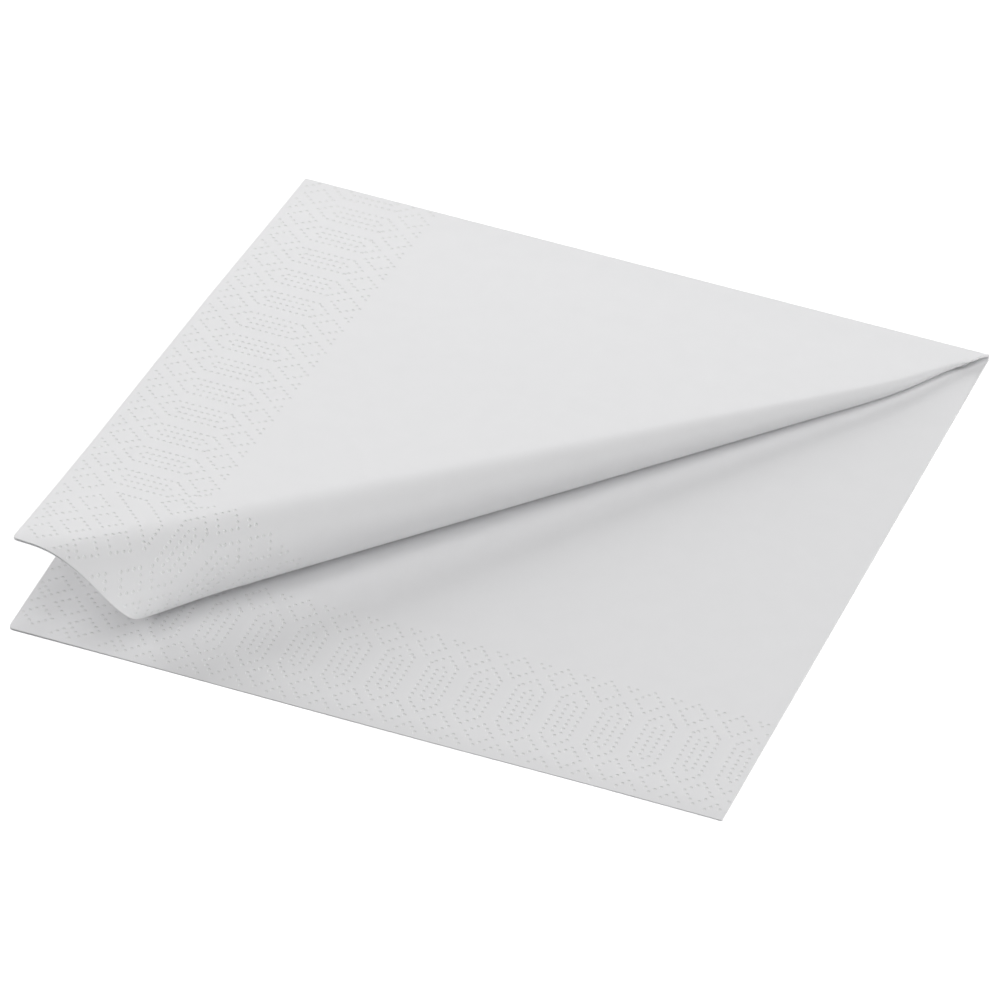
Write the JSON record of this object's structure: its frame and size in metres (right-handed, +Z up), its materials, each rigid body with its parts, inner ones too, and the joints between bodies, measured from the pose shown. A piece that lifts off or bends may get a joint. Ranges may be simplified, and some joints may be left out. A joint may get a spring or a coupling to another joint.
{
  "type": "paper napkin",
  "caption": "Square folded white tissue napkin with a dot-embossed border; its top flap lifts on the rear crease, with one corner rolled under.",
  "frame": {"origin": "centre of the folded square, on the surface that the napkin rests on", "axes": "+Z up out of the table, +Y from the open front edge to the crease along the back edge, +X from the open left edge to the folded right edge"},
  "size_m": [0.165, 0.1649, 0.0242],
  "materials": {
    "tissue_face": "soft matte embossed tissue, the smooth side that shows",
    "tissue_core": "soft matte tissue, middle ply",
    "tissue_back": "soft matte embossed tissue, the side with raised dots"
  },
  "bodies": {
    "base": {"third_leaf_face_ply": "tissue_face", "third_leaf_core_ply": "tissue_core", "third_leaf_back_ply": "tissue_back", "bottom_leaf_face_ply": "tissue_face", "bottom_leaf_core_ply": "tissue_core", "bottom_leaf_back_ply": "tissue_back"},
    "flap": {"top_leaf_face_ply": "tissue_face", "top_leaf_core_ply": "tissue_core", "top_leaf_back_ply": "tissue_back", "second_leaf_face_ply": "tissue_face", "second_leaf_core_ply": "tissue_core", "second_leaf_back_ply": "tissue_back"}
  },
  "joints": [
    {"name": "flap_crease", "type": "hinge", "parent": "base", "child": "flap", "pos_m": [0, 0.0825, 0.00092], "axis": [-1, 0, 0], "range_deg": [0, 172]}
  ]
}
